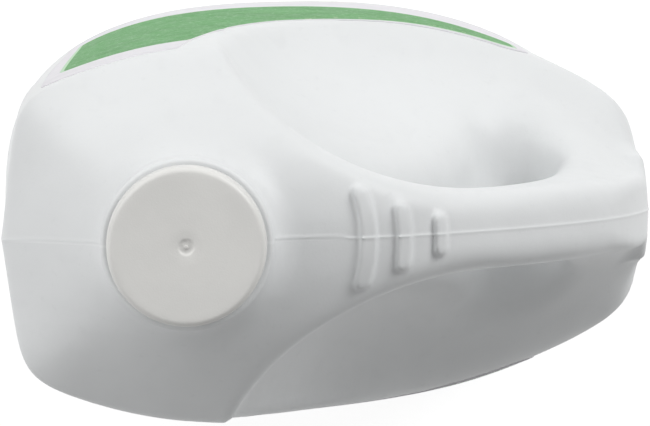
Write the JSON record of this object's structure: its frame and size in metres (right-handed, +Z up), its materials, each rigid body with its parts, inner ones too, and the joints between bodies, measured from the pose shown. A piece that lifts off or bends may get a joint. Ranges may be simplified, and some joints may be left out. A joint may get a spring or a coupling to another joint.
{
  "type": "handled jug with screw cap",
  "caption": "Blow-moulded household jug with an integral hollow handle, threaded neck, lined screw cap and film labels.",
  "frame": {"origin": "on the standing plane, under the middle of the jug's length and depth", "axes": "+Z up; +X towards the handle, with the neck towards -X; Y = 0 is the mould parting plane"},
  "size_m": [0.192, 0.1232, 0.304],
  "materials": {
    "jug_plastic": "soft satin",
    "cap_plastic": "satin",
    "liner_foam": "matte foam",
    "label_film": "printed film"
  },
  "bodies": {
    "jug": {"jug_base": "jug_plastic", "jug_shoulders": "jug_plastic", "jug_handle": "jug_plastic", "jug_neck": "jug_plastic", "back_label": "label_film", "front_label": "label_film"},
    "liner": {"cap_liner": "liner_foam"},
    "cap": {"screw_cap": "cap_plastic"}
  },
  "joints": [
    {"name": "cap_lift", "type": "slide", "parent": "jug", "child": "liner", "axis": [0, 0, 1], "range_m": [0, 0.0054]},
    {"name": "cap_turn", "type": "hinge", "parent": "liner", "child": "cap", "pos_m": [-0.035, 0, 0.2975], "axis": [0, 0, 1], "range_deg": [0, 450]}
  ],
  "couplings": [
    {"joint": "cap_lift", "follows": "cap_turn", "m_per_rad": 0.0006737}
  ]
}
